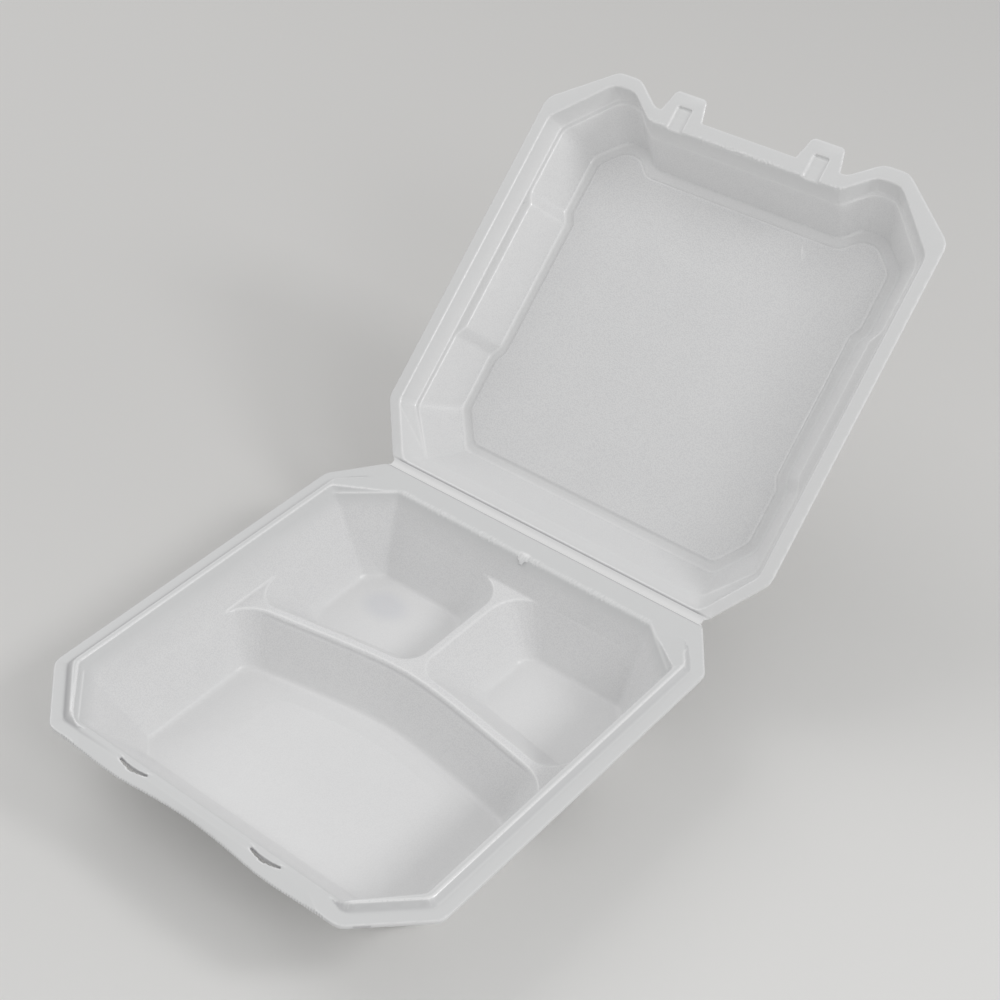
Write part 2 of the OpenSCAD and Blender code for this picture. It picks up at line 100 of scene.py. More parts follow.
# Millimetres below the rim, and the grain there, or the darker tone there: the thin pressed flange, then
# painted shade fading down the tops of the walls and on the floors and the lid's panel
FLAT_GRAIN = 0.15
TRAY_GRAIN = ((1, 6, 36, 42), (FLAT_GRAIN, 0.75, 0.75, 0.3))
LID_GRAIN = ((1, 9, 12, 26.2, 26.6, 27.2, 27.6), (FLAT_GRAIN, 0.3, 0.6, 0.6, 1, 1, 0.4))
TRAY_THIN_AND_SHADE = ((2, 8, 38, 43), (1, 0, 0, 0.07))
LID_THIN_AND_SHADE = ((2, 8, 20, 26), (0.55, 0, 0, 0.2))
# Millimetres from the hinge, and the painted shade on the lid's wall there
LID_WALL_SHADE = ((3, 8, 24, 36), (0, 0.4, 0.4, 0))

# Depths below the rims from which the sheet is rounded more
TRAY_SOFT = 3 * MM
LID_SOFT = 24.5 * MM
# Depth at which the sheet is at its most uneven, and the share of that at the rim
WOBBLE_DEPTH = 8 * MM
WOBBLE_RIM = 0.1

# Height of a vertex over its neighbours, in millimetres, where an edge or a corner starts and is full
EDGE_RISE = (0.008, 0.024)
CORNER_RISE = (0.011, 0.021)
CORNER_DEPTH = 6 * MM
# Depths between which the rims are trimmed, and the share of the gloss and painted highlight kept there
TRIM_DEPTH = (-0.6 * MM, 3 * MM)
TRIM_SHINE = 0.3

# Tray's rim: half sizes, then the cut of its corners across and along
RIM_X = CAD_BOX[1][0]
RIM_Y = HINGE_POS.y
FRONT_CUT = (30 * MM, 28 * MM)
BACK_CUT = (20.5 * MM, 27 * MM)
# Thinned outer edge of the rim: width, depths and share taken off
BRINK_W = 5.6 * MM
BRINK_DEPTH = (1 * MM, 4 * MM)
BRINK_CUT = 0.5
# Saw marks on the front edge: start, half length and depth
SAW_Y = -112 * MM
SAW_X = 80 * MM
SAW_DEPTH = 4.5 * MM
# Slits' painted shade: middle, half width and depths of the darkened walls inside the slits
SLIT_Y = -110 * MM
SLIT_W = 2.4 * MM
SLIT_DEPTH = (0.3 * MM, 4 * MM)
# Bead: limits across and along of the painted shadow along its foot, and its width
FOOT_X = -70 * MM
FOOT_Y = 60 * MM
FOOT_W = 0.8 * MM
# Bead's outer bank, darkened with painted shade: offset from the foot, width and least height
BANK_OFF = 1.2 * MM
BANK_W = 1.3 * MM
BANK_RISE = 0.2 * MM
# Torn fringe: depth and width, direction that it is pulled in, and the share of gloss and painted highlight
# it loses
FRINGE_DEPTH = 0.4 * MM
FRINGE_W = 1.2 * MM
TATTER = (0, -0.75, -0.65)
FRINGE_DULL = 0.65
# Nub: width along the tray, width below the rim and slope of its sides
NUB_Y = 1.1 * MM
NUB_Z = 0.9 * MM
NUB_SLOPE = 1.3
# Long divider's crest: place of its front edge in the middle, length of its bend, slope of its ends,
# then the half length and the fade of its marks
CREST_Y = 19.5 * MM
CREST_BEND = 22 * MM
CREST_SLOPE = 0.178
CREST_REACH = 86 * MM
CREST_FADE = 12 * MM
# Rough edge of the crest and the undercut line below it, each with its offset forwards, depth and width,
# then the length of one rough patch
ROUGH_EDGE = (0.4 * MM, 17.6 * MM, 0.6 * MM)
# The undercut line is also darkened with painted shadow, as the shade under the crest
UNDERCUT = (1.3 * MM, 19.2 * MM, 0.8 * MM)
ROUGH_L = 1.3 * MM
# Tray's crease: greatest depth that is filled and width of its line of painted shade
CREASE_DEPTH = 1.2 * MM
CREASE_LINE = 0.35 * MM
# Depth down to which a place counts as the tray's flange
FLANGE_DEPTH = 1 * MM

# Lid's rough inner edge by the tabs: distance from the hinge, half length, depth and width
LID_EDGE_V = 211.4 * MM
LID_EDGE_X = 62 * MM
LID_EDGE_DEPTH = 0.3 * MM
LID_EDGE_W = 1.1 * MM
# Short ridge on the panel: place, turn, half width, half length and least depth
PIP_X = 41.5 * MM
PIP_V = 182.5 * MM
PIP_TURN = math.radians(28)
PIP_W = 0.8 * MM
PIP_L = 3.6 * MM
PIP_DEPTH = 20 * MM
# Lid's crease, pressed in and darkened with painted shade: offset from its set place, width, greatest depth,
# press, half length and fade
LID_CREASE_OFF = 0.2 * MM
LID_CREASE_W = 0.7 * MM
LID_CREASE_DEPTH = 2 * MM
LID_CREASE_PRESS = 0.3 * MM
LID_CREASE_X = 97 * MM
LID_CREASE_FADE = 5 * MM
# Distance from the hinge past which the lid's rim gets its darker tone of thin sheet and painted shade
LID_THIN_AND_SHADE_FROM = 4 * MM

# Angle past which an edge of the hinge strip stays sharp
SHARP = math.radians(40)
# Reach towards the camera over which painted light makes the floor lighter
FLOOR_FADE = (-0.35, 0.4)


class FoamSettings(bpy.types.PropertyGroup):
    """Colour and skin of the foam."""

    colour: bpy.props.FloatVectorProperty(
        name="Foam", description="Colour of the foam's skin", subtype="COLOR", size=3,
        min=0, max=1, default=(0.855, 0.855, 0.855))
    shade: bpy.props.FloatVectorProperty(
        name="Cell shade", description="Colour between the cells", subtype="COLOR", size=3,
        min=0, max=1, default=(0.70, 0.70, 0.71))
    # Darker tone of the thin pressed flanges, also used as painted shade at the tops of the walls, on the
    # floors, the lid's panel and its wall by the hinge
    thin: bpy.props.FloatVectorProperty(
        name="Thin sheet", description="Colour of the pressed flanges", subtype="COLOR", size=3,
        min=0, max=1, default=(0.735, 0.74, 0.74))
    # Painted shade: the colour that creases, slits and hollows are darkened towards, where shade falls
    painted_shade: bpy.props.FloatVectorProperty(
        name="Fold", description="Colour in the folds", subtype="COLOR", size=3,
        min=0, max=1, default=(0.5, 0.5, 0.51))
    # Painted highlight: edges that face the lamps are mixed towards this lighter colour
    edge: bpy.props.FloatVectorProperty(
        name="Edge", description="Colour of the stretched skin on the edges", subtype="COLOR", size=3,
        min=0, max=1, default=(0.95, 0.95, 0.95))
    # Spot: a greyer, bluer round patch mixed into the colour of the left floor
    spot: bpy.props.FloatVectorProperty(
        name="Spot", description="Colour of the thin spot in the left floor", subtype="COLOR", size=3,
        min=0, max=1, default=(0.68, 0.69, 0.73))
    spot_at: bpy.props.FloatVectorProperty(
        name="Spot place", description="Middle of the thin spot", subtype="TRANSLATION", size=3,
        default=(-59.5 * MM, 66.9 * MM, 2.6 * MM))
    spot_size: bpy.props.FloatVectorProperty(
        name="Spot size", description="Half size of the thin spot", subtype="XYZ", size=3,
        default=(18 * MM, 13 * MM, 4 * MM))
    spot_share: bpy.props.FloatProperty(
        name="Spot share", description="Strength of the thin spot", min=0, max=1, default=0.45)
    cell: bpy.props.FloatProperty(
        name="Cell", description="Width of one foam cell", subtype="DISTANCE", default=0.65 * MM)
    cell_share: bpy.props.FloatProperty(
        name="Cell share", description="Strength of the shade between the cells", min=0, max=1, default=0.55)
    mottle: bpy.props.FloatProperty(
        name="Mottle", description="Strength of the wide mottling", min=0, max=1, default=0.1)
    cell_bump: bpy.props.FloatProperty(
        name="Cell bump", description="Height of the cells", subtype="DISTANCE", default=0.08 * MM)
    bump: bpy.props.FloatProperty(
        name="Bump", description="Strength of the cells' height", min=0, max=1, default=0.6)
    roughness: bpy.props.FloatProperty(
        name="Roughness", description="Roughness of the moulded skin", min=0, max=1, default=0.42)
    grit: bpy.props.FloatProperty(
        name="Grit", description="Change of the roughness over the grain", min=0, max=1, default=0.3)
    gloss: bpy.props.FloatProperty(
        name="Edge gloss", description="Fall of the roughness on the edges", min=0, max=1, default=0.26)
    coat_rough: bpy.props.FloatProperty(
        name="Edge shine", description="Roughness of the shine on the edges", min=0, max=1, default=0.26)
    coat_ior: bpy.props.FloatProperty(
        name="Edge index", description="Refractive index of the shine on the edges", min=1, max=4,
        default=2.0)


class ShellSettings(bpy.types.PropertyGroup):
    """Moulding of the two shells."""

    voxel: bpy.props.FloatProperty(
        name="Voxel", description="Grid that the shells are drawn on", subtype="DISTANCE", default=0.5 * MM)
    steps: bpy.props.IntProperty(
        name="Steps", description="Rounding of the whole shell", min=0, default=3)
    soft_steps: bpy.props.IntProperty(
        name="Soft steps", description="More rounding of the walls and floors", min=0, default=2)
    panel_steps: bpy.props.IntProperty(
        name="Panel steps", description="More rounding round the lid's panel", min=0, default=5)
    triangles: bpy.props.IntProperty(
        name="Triangles", description="Triangles kept in each shell", min=1000, default=190000)
    wobble: bpy.props.FloatProperty(
        name="Wobble", description="Unevenness of the sheet", subtype="DISTANCE", default=0.12 * MM)
    wobble_l: bpy.props.FloatProperty(
        name="Wobble length", description="Length of the unevenness", subtype="DISTANCE", default=16 * MM)


class MarkSettings(bpy.types.PropertyGroup):
    """Marks that moulding and trimming leave."""

    tear: bpy.props.FloatProperty(
        name="Tear", description="Height of the torn fringe at the top of the hinge-side wall",
        subtype="DISTANCE", default=3.2 * MM)
    tear_l: bpy.props.FloatProperty(
        name="Tear length", description="Length of one tatter", subtype="DISTANCE", default=1.0 * MM)
    tear_y: bpy.props.FloatProperty(
        name="Tear place", description="Place of the torn fringe", subtype="DISTANCE", default=101.6 * MM)
    tear_x: bpy.props.FloatProperty(
        name="Tear reach", description="Half length of the torn fringe", subtype="DISTANCE", default=78 * MM)
    nub: bpy.props.FloatProperty(
        name="Nub", description="Height of the torn nub", subtype="DISTANCE", default=4.6 * MM)
    nub_x: bpy.props.FloatProperty(
        name="Nub place", description="Place of the nub along the fringe", subtype="DISTANCE",
        default=2.5 * MM)
    crest: bpy.props.FloatProperty(
        name="Crest", description="Height of the rough edge of the long divider", subtype="DISTANCE",
        default=0.3 * MM)
    tooth: bpy.props.FloatProperty(
        name="Tooth", description="Depth of the saw marks on the front edge", subtype="DISTANCE",
        default=0.33 * MM)
    tooth_l: bpy.props.FloatProperty(
        name="Tooth length", description="Length of one saw mark", subtype="DISTANCE", default=1.5 * MM)
    groove: bpy.props.FloatProperty(
        name="Groove", description="Distance of the bead's shaded foot from the edge", subtype="DISTANCE",
        default=6.5 * MM)
    pip: bpy.props.FloatProperty(
        name="Pip", description="Height of the short ridge on the panel", subtype="DISTANCE",
        default=0.35 * MM)


class HingeSettings(bpy.types.PropertyGroup):
    """Strip of sheet that folds between the two creases."""

    half_width: bpy.props.FloatProperty(
        name="Half width", description="Half the width of the strip", subtype="DISTANCE", default=2.3 * MM)
    half_length: bpy.props.FloatProperty(
        name="Half length", description="Half the length of the strip", subtype="DISTANCE", default=96.3 * MM)
    thickness: bpy.props.FloatProperty(
        name="Thickness", description="Thickness of the strip", subtype="DISTANCE", default=1.2 * MM)
    lift: bpy.props.FloatProperty(
        name="Lift", description="Height of the strip over the sheets", subtype="DISTANCE", default=0.18 * MM)
    facets: bpy.props.IntProperty(
        name="Facets", description="Facets across the strip", min=2, default=16)
    crease: bpy.props.FloatProperty(
        name="Crease", description="Height that the tray's crease is filled by", subtype="DISTANCE",
        default=0.5 * MM)
    crease_y: bpy.props.FloatProperty(
        name="Crease place", description="Distance of the creases from the hinge line", subtype="DISTANCE",
        default=2.4 * MM)
    crease_w: bpy.props.FloatProperty(
        name="Crease width", description="Half width of a crease", subtype="DISTANCE", default=1.1 * MM)


class StageSettings(bpy.types.PropertyGroup):
    """Floor, lamps and camera."""

    floor: bpy.props.FloatVectorProperty(
        name="Floor", description="Colour of the floor", subtype="COLOR", size=3,
        min=0, max=1, default=(0.72, 0.713, 0.70))
    # Painted light: the floor is mixed towards this lighter colour near the camera
    floor_near: bpy.props.FloatVectorProperty(
        name="Near floor", description="Colour of the floor near the camera", subtype="COLOR", size=3,
        min=0, max=1, default=(0.86, 0.857, 0.845))
    floor_rough: bpy.props.FloatProperty(
        name="Floor roughness", description="Roughness of the floor", min=0, max=1, default=0.8)
    floor_size: bpy.props.FloatProperty(
        name="Floor size", description="Half the width of the floor", subtype="DISTANCE", default=8)
    world: bpy.props.FloatProperty(
        name="World", description="Strength of the light from all round", min=0, default=0.52)
    aim: bpy.props.FloatVectorProperty(
        name="Aim", description="Place that the lamps point at", subtype="TRANSLATION", size=3,
        default=(0, 80 * MM, 60 * MM))
    key: bpy.props.FloatProperty(
        name="Key", description="Power of the small lamp behind on the right", unit="POWER", min=0,
        default=4.6)
    key_at: bpy.props.FloatVectorProperty(
        name="Key place", description="Place of the small lamp", subtype="TRANSLATION", size=3,
        default=(1.25, 0.45, 1.1))
    key_size: bpy.props.FloatProperty(
        name="Key size", description="Width of the small lamp", subtype="DISTANCE", default=0.35)
    side: bpy.props.FloatProperty(
        name="Side", description="Power of the lamp in front on the right", unit="POWER", min=0, default=3.0)
    side_at: bpy.props.FloatVectorProperty(
        name="Side place", description="Place of the lamp in front", subtype="TRANSLATION", size=3,
        default=(1.3, -0.4, 1.1))
    side_size: bpy.props.FloatProperty(
        name="Side size", description="Width of the lamp in front", subtype="DISTANCE", default=0.5)
    top: bpy.props.FloatProperty(
        name="Top", description="Power of the wide lamp high on the left", unit="POWER", min=0, default=5.2)
    top_at: bpy.props.FloatVectorProperty(
        name="Top place", description="Place of the wide lamp", subtype="TRANSLATION", size=3,
        default=(-1.1, 0.2, 1.3))
    top_size: bpy.props.FloatProperty(
        name="Top size", description="Width of the wide lamp", subtype="DISTANCE", default=1.2)
    camera: bpy.props.FloatVectorProperty(
        name="Camera", description="Place of the camera", subtype="TRANSLATION", size=3,
        default=(0.4565, -0.4387, 0.6489))
    forward: bpy.props.FloatVectorProperty(
        name="Forward", description="Direction that the camera looks in", subtype="DIRECTION", size=3,
        default=(-0.5100, 0.5885, -0.6273))
    roll: bpy.props.FloatProperty(
        name="Roll", description="Roll of the camera", subtype="ANGLE", default=math.radians(-1.475))
    lens: bpy.props.FloatProperty(
        name="Lens", description="Focal length of the camera", unit="CAMERA", default=69.54)


class Socket:
    """A shader value that takes part in Python arithmetic."""

    def __init__(self, shader, socket):
        self.shader = shader
        self.socket = socket

    def math(self, operation, other, swap=False):
        pair = (other, self) if swap else (self, other)
        return self.shader.node("ShaderNodeMath", {"operation": operation}, {0: pair[0], 1: pair[1]})

    def __add__(self, other):
        return self.math("ADD", other)

    def __radd__(self, other):
        return self.math("ADD", other, swap=True)

    def __sub__(self, other):
        return self.math("SUBTRACT", other)

    def __rsub__(self, other):
        return self.math("SUBTRACT", other, swap=True)

    def __mul__(self, other):
        return self.math("MULTIPLY", other)

    def __rmul__(self, other):
        return self.math("MULTIPLY", other, swap=True)


class Shader:
    """One material and the nodes added to it."""

    def __init__(self, name):
        self.material = bpy.data.materials.new(name)
        self.material.use_nodes = True
        self.tree = self.material.node_tree
        self.tree.nodes.clear()

    def node(self, kind, settings, sockets, output=0):
        """Adds a node, sets it up, then fills or links its sockets, and returns one of its outputs."""
        made = self.tree.nodes.new(kind)
        for key, value in settings.items():
            setattr(made, key, value)
        for key, value in sockets.items():
            if isinstance(value, Socket):
                self.tree.links.new(value.socket, made.inputs[key])
            else:
                made.inputs[key].default_value = value
        return Socket(self, made.outputs[output]) if made.outputs else None

    def ramp(self, value, low, high):
        """Value from 0 at low to 1 at high."""
        return self.node("ShaderNodeMapRange", {"interpolation_type": "SMOOTHSTEP"},
                         {"Value": value, "From Min": low, "From Max": high})

    def mix(self, factor, a, b):
        """Colour from a, a colour or a socket, to the colour b."""
        start = a if isinstance(a, Socket) else (*a, 1)
        return self.node("ShaderNodeMix", {"data_type": "RGBA"}, {0: factor, 6: start, 7: (*b, 1)}, 2)

    def vector(self, operation, a, b, output=0):
        return self.node("ShaderNodeVectorMath", {"operation": operation}, {0: a, 1: b}, output)

    def attribute(self, name):
        return self.node("ShaderNodeAttribute", {"attribute_name": name}, {}, "Fac")

    def noise(self, place, scale, detail):
        return self.node("ShaderNodeTexNoise", {}, {"Vector": place, "Scale": scale, "Detail": detail}, "Fac")

    def surface(self, shader):
        self.node("ShaderNodeOutputMaterial", {}, {0: shader})
        return self.material


def foam_material(foam):
    """White foam: a satin moulded skin over fine cells, shinier where it is stretched over edges, with
    painted highlights there that lighten the colour.
    """
    paint = Shader(FOAM_SKIN)
    place = paint.node("ShaderNodeTexCoord", {}, {}, "Object")
    grain = paint.attribute(GRAIN)
    ridge = paint.attribute(RIDGE)
    cells = paint.node("ShaderNodeTexVoronoi", {"feature": "F1"},
                       {"Vector": place, "Scale": 1 / foam.cell, "Randomness": 1.0}, "Distance")
    fine = paint.noise(place, GRIT_WAVES, 2)
    mottle = paint.ramp(paint.noise(place, MOTTLE_WAVES, 4), 0.3, 0.75)
    gaps = paint.ramp(cells, 0.25, 0.75)
    shade = (gaps * foam.cell_share + mottle * foam.mottle) * grain
    # Painted highlight on the edges, lighter in colour; the same amount weights the shiny coat
    painted_highlight_and_coat = ridge * paint.ramp(fine, 0.2, 0.5)
    # Greyer, bluer round patch on the left floor
    spread = paint.vector("DIVIDE", paint.vector("SUBTRACT", place, foam.spot_at), foam.spot_size)
    reach = paint.node("ShaderNodeVectorMath", {"operation": "LENGTH"}, {0: spread}, "Value")
    spot = (1 - paint.ramp(reach, 0.3, 1.0)) * foam.spot_share
    # Darker tone of thin sheet and painted shade, then the shade between the cells
    skin = paint.mix(shade, paint.mix(paint.attribute(THIN_AND_SHADE), foam.colour, foam.thin), foam.shade)
    # Painted shade in the creases, slits and hollows
    marked = paint.mix(paint.attribute(PAINTED_SHADE), paint.mix(spot, skin, foam.spot), foam.painted_shade)
    colour = paint.mix(painted_highlight_and_coat, marked, foam.edge)
    rough = foam.roughness + (fine - 0.5) * foam.grit * grain - ridge * foam.gloss
    height = (1 - cells) * grain + fine * (grain * 0.6 + ridge * 0.6 + 0.1)
    bump = paint.node("ShaderNodeBump", {},
                      {"Strength": foam.bump, "Distance": foam.cell_bump, "Height": height})
    return paint.surface(paint.node("ShaderNodeBsdfPrincipled", {}, {
        "Base Color": colour, "Roughness": rough, "Normal": bump, "IOR": 1.5, "Coat Weight": painted_highlight_and_coat,
        "Coat Roughness": foam.coat_rough, "Coat IOR": foam.coat_ior}))


def link(piece):
    bpy.context.scene.collection.objects.link(piece)
    return piece


def settle(piece):
    """Applies the piece's modifiers to its mesh."""
    graph = bpy.context.evaluated_depsgraph_get()
    mesh = bpy.data.meshes.new_from_object(piece.evaluated_get(graph))
    old = piece.data
    piece.modifiers.clear()
    piece.data = mesh
    bpy.data.meshes.remove(old)


def merged_copy(node):
    """Copy of a solid's mesh with its loose triangles joined."""
    shape = bmesh.new()
    shape.from_mesh(frame["nodes"][node].data)
    bmesh.ops.remove_doubles(shape, verts=shape.verts, dist=0.001 * MM)
    mesh = bpy.data.meshes.new(node + "_foam")
    shape.to_mesh(mesh)
    shape.free()
    return mesh


def values(mesh, key="co"):
    """Coordinates or normals of a mesh's vertices."""
    found = np.zeros(len(mesh.vertices) * 3, np.float32)
    mesh.vertices.foreach_get(key, found)
    return found.reshape(-1, 3).astype(float)


def move(mesh, spots):
    """Moves a mesh's vertices to new places."""
    mesh.vertices.foreach_set("co", spots.astype(np.float32).ravel())
    mesh.update()


def mark(mesh, name, amounts):
    """Writes one number for each vertex, for the finish to read."""
    made = mesh.attributes.new(name, "FLOAT", "POINT")
    made.data.foreach_set("value", np.asarray(amounts, np.float32))


def around(mesh, amounts):
    """Mean of each vertex's neighbours, for an array with one row a vertex."""
    pairs = np.zeros(len(mesh.edges) * 2, np.int32)
    mesh.edges.foreach_get("vertices", pairs)
    a, b = pairs.reshape(-1, 2).T
    count = len(mesh.vertices)
    share = np.bincount(a, minlength=count) + np.bincount(b, minlength=count)
    sums = [np.bincount(a, column[b], count) + np.bincount(b, column[a], count) for column in amounts.T]
    return np.stack(sums, 1) / np.maximum(share, 1)[:, None]


def rise_between(amounts, low, high):
    """From 0 at low to 1 at high."""
    return np.clip((amounts - low) / (high - low), 0, 1)


def within(amounts, low, high):
    return (amounts > low) & (amounts < high)


def near(gaps, width):
    """1 on a line, falling to 0 a width or two away from it."""
    return np.exp(-(gaps / width) ** 2)


def noisy(spots, length):
    """Smooth noise between -1 and 1 at each place."""
    return np.array([noise.noise(Vector(q) / length) for q in spots])


def patchy(spots, length, contrast, least):
    """Share of a rough mark that is left at each place, in long patches."""
    return np.clip(0.45 + contrast * noisy(spots, length), least, 1)


def convexity(mesh, depth):
    """From 0 on flat skin to 1 on a narrow outward edge, and less in hollow corners on the left; it is more
    on edges that face the lamps on the right, as it paints highlights as well as gloss.
    """
    spots, normals = values(mesh), values(mesh, "normal")
    rise = ((spots - around(mesh, spots)) * normals).sum(1) / MM
    edge = rise_between(rise, *EDGE_RISE) * np.clip(0.6 + normals[:, 0], 0.3, 1)
    corner = rise_between(-rise, *CORNER_RISE) * np.clip(2 * normals[:, 0], 0, 0.7) * (depth > CORNER_DEPTH)
    away = spots - spots.mean(0)
    outward = (away * normals).sum(1) > 0.3 * np.linalg.norm(away, axis=1)
    return np.maximum(edge, corner) * np.where(outward & within(depth, *TRIM_DEPTH), TRIM_SHINE, 1)


def on_tray(spots):
    """Places from the tray's middle: across, towards the hinge, below the rim."""
    return np.stack([spots[:, 0], spots[:, 1], TRAY_RIM - spots[:, 2]], 1)


def on_lid(spots):
    """Places from the hinge's middle: across, along the lid, below its rim."""
    away = spots - np.array(HINGE_POS)
    return np.stack([away[:, 0], away @ np.array(LID_ALONG), away @ np.array(LID_IN) - RIM_GAP], 1)


def roughen(mesh, amount, height, length):
    """Raises patches of noise along the normals, by the amount at each vertex."""
    spots, normals = values(mesh), values(mesh, "normal")
    chosen = np.nonzero(amount > 0.02)[0]
    patch = patchy(spots[chosen], 12 * length, 0.9, 0.1)
    push = noisy(spots[chosen], length) * patch * amount[chosen] * height
    spots[chosen] += normals[chosen] * push[:, None]
    move(mesh, spots)


def tatter(mesh, amount, height, length):
    """Pulls ragged tatters forwards and down, by the amount at each vertex."""
    spots = values(mesh)
    chosen = np.nonzero(amount > 0.02)[0]
    line = spots[chosen] * (1, 0, 0)
    patch = patchy(line, 14 * length, 1.2, 0.2)
    pull = np.clip(0.1 + noisy(line, length) + 0.6 * noisy(line, 0.4 * length), 0, 1) * patch
    spots[chosen] += np.array(TATTER) * (pull * amount[chosen] * height)[:, None]
    move(mesh, spots)


def crest_nearness(x, y, depth, place):
    """Nearness to a line along the front of the long divider's crest, which bends towards the hinge."""
    forward, below, width = place
    bend = np.sqrt(x * x + CREST_BEND ** 2) - CREST_BEND
    line = CREST_Y - CREST_SLOPE * bend - forward
    span = rise_between(CREST_REACH - np.abs(x), 0, CREST_FADE)
    return near(np.hypot(y - line, depth - below), width) * span


def corner_gap(side, end, cut):
    """Distance from a cut corner of the rim, for distances from its side and its end."""
    across, along = cut
    return (side * along + end * across - across * along) / math.hypot(across, along)


def edge_gap(x, y):
    """Distance of places on the tray from the edge of its rim."""
    side, front, back = RIM_X - np.abs(x), RIM_Y + y, RIM_Y - y
    corners = [corner_gap(side, front, FRONT_CUT), corner_gap(side, back, BACK_CUT)]
    return np.minimum.reduce([side, front, back, *corners])


def tray_marks(mesh, context):
    """Torn fringe with a nub, rough divider edge, saw marks and filled crease of the tray, its painted shade
    in the crease, slits and hollows, and its darker tone of thin flange and painted shade.
    """
    marks, hinge = context.scene.container_marks, context.scene.container_hinge
    x, y, depth = on_tray(values(mesh)).T
    fringe = near(np.hypot(y - marks.tear_y, depth - FRINGE_DEPTH), FRINGE_W) * (np.abs(x) < marks.tear_x)
    tatter(mesh, fringe, marks.tear, marks.tear_l)
    roughen(mesh, crest_nearness(x, y, depth, ROUGH_EDGE), marks.crest, ROUGH_L)
    spots, normals = values(mesh), values(mesh, "normal")
    nub = np.clip(1 - np.abs(x - marks.nub_x) / marks.nub * NUB_SLOPE, 0, 1) * near(y - marks.tear_y, NUB_Y)
    spots += np.array(TATTER) * (nub * near(depth - FRINGE_DEPTH, NUB_Z) * marks.nub)[:, None]
    under = crest_nearness(x, y, depth, UNDERCUT)
    spots -= normals * (under * marks.crest)[:, None]
    gap = edge_gap(x, y)
    brink = (gap < BRINK_W) & (normals[:, 2] < 0.5) & within(depth, *BRINK_DEPTH)
    spots[:, 2] += brink * (depth - BRINK_DEPTH[0]) * BRINK_CUT
    sawn = (normals[:, 1] < -0.4) & (depth < SAW_DEPTH) & (y < SAW_Y) & (np.abs(x) < SAW_X)
    spots[:, 1] -= sawn * marks.tooth * (np.abs((x / marks.tooth_l) % 1 - 0.5) * 4 - 1)
    from_crease = HINGE_POS.y - hinge.crease_y - y
    crease = (np.abs(from_crease) < hinge.crease_w) & (depth < CREASE_DEPTH)
    spots[:, 2] += crease * np.clip(depth, 0, hinge.crease)
    move(mesh, spots)
    # Painted shade: dark lines in the crease, along the bead's foot on the left, on its outer bank, in the
    # slits and under the crest, where shade falls
    line = near(from_crease, CREASE_LINE) * (depth < FLANGE_DEPTH)
    foot = near(gap - marks.groove, FOOT_W) * (x < FOOT_X) * (y < FOOT_Y) * (depth < FLANGE_DEPTH)
    bank = near(gap - marks.groove - BANK_OFF, BANK_W) * (depth < -BANK_RISE)
    slit = (np.abs(y - SLIT_Y) < SLIT_W) & within(depth, *SLIT_DEPTH) & (np.abs(normals[:, 2]) < 0.7)
    shades = ((under, 0.3), (line, 0.5), (foot, 0.6), (bank, 0.45), (slit, 0.9))
    mark(mesh, PAINTED_SHADE, np.clip(sum(place * share for place, share in shades), 0, 1))
    # Darker tone of the thin flange, and painted shade down the tops of the walls and on the floor
    mark(mesh, THIN_AND_SHADE, np.interp(depth / MM, *TRAY_THIN_AND_SHADE))
    return 1 - FRINGE_DULL * fringe


def lid_marks(mesh, context):
    """Rough inner edge by the tabs, short ridge on the panel and pressed crease of the lid with painted shade
    in it, and its darker tone of thin sheet and painted shade.
    """
    marks, hinge = context.scene.container_marks, context.scene.container_hinge
    x, v, depth = on_lid(values(mesh)).T
    edge = near(np.hypot(v - LID_EDGE_V, depth - LID_EDGE_DEPTH), LID_EDGE_W) * (np.abs(x) < LID_EDGE_X)
    roughen(mesh, edge, 2 * marks.crest, marks.tear_l)
    spots = values(mesh)
    along = (v - PIP_V) * math.cos(PIP_TURN) - (x - PIP_X) * math.sin(PIP_TURN)
    across = (v - PIP_V) * math.sin(PIP_TURN) + (x - PIP_X) * math.cos(PIP_TURN)
    pip = near(across, PIP_W) * near(along, PIP_L) * (depth > PIP_DEPTH)
    crease = near(v - hinge.crease_y - LID_CREASE_OFF, LID_CREASE_W) * (depth < LID_CREASE_DEPTH)
    crease *= rise_between(LID_CREASE_X - np.abs(x), 0, LID_CREASE_FADE)
    move(mesh, spots - np.array(LID_IN) * (pip * marks.pip - crease * LID_CREASE_PRESS)[:, None])
    # Painted shade in the lid's crease
    mark(mesh, PAINTED_SHADE, crease * 0.9)
    # Darker tone of the thin rim, and painted shade on the panel and on the wall by the hinge
    thin = np.interp(depth / MM, *LID_THIN_AND_SHADE) * (v > LID_THIN_AND_SHADE_FROM)
    mark(mesh, THIN_AND_SHADE, np.maximum(thin, np.interp(v / MM, *LID_WALL_SHADE)))
    return np.ones(len(v))


